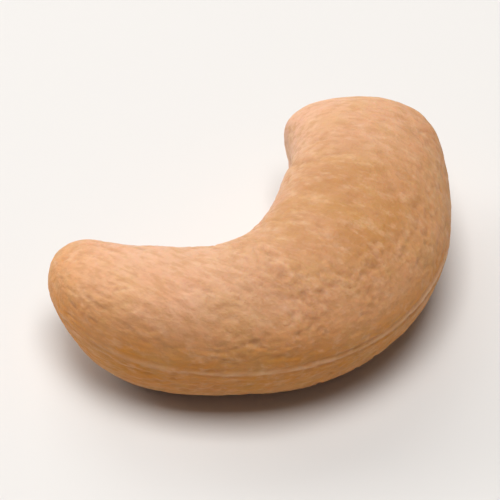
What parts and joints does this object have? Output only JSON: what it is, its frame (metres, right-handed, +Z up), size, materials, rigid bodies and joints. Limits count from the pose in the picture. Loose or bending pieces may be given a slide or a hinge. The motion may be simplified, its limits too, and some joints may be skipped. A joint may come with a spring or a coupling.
{
  "type": "shelled cashew kernel",
  "caption": "Whole cashew kernel, out of its shell: a thick C-shaped curve with a seam along its outer side, lying on its flank on three small flats.",
  "frame": {"origin": "under the middle of the kernel, on the surface that it lies on", "axes": "+X along the kernel's length, towards its broad end; +Y towards the open side of its curve; +Z up, through its flanks"},
  "size_m": [0.0276, 0.0178, 0.009],
  "materials": {
    "nut_meat": "satin, slightly waxy, cream to golden tan"
  },
  "bodies": {
    "root": {"kernel": "nut_meat"}
  },
  "joints": []
}
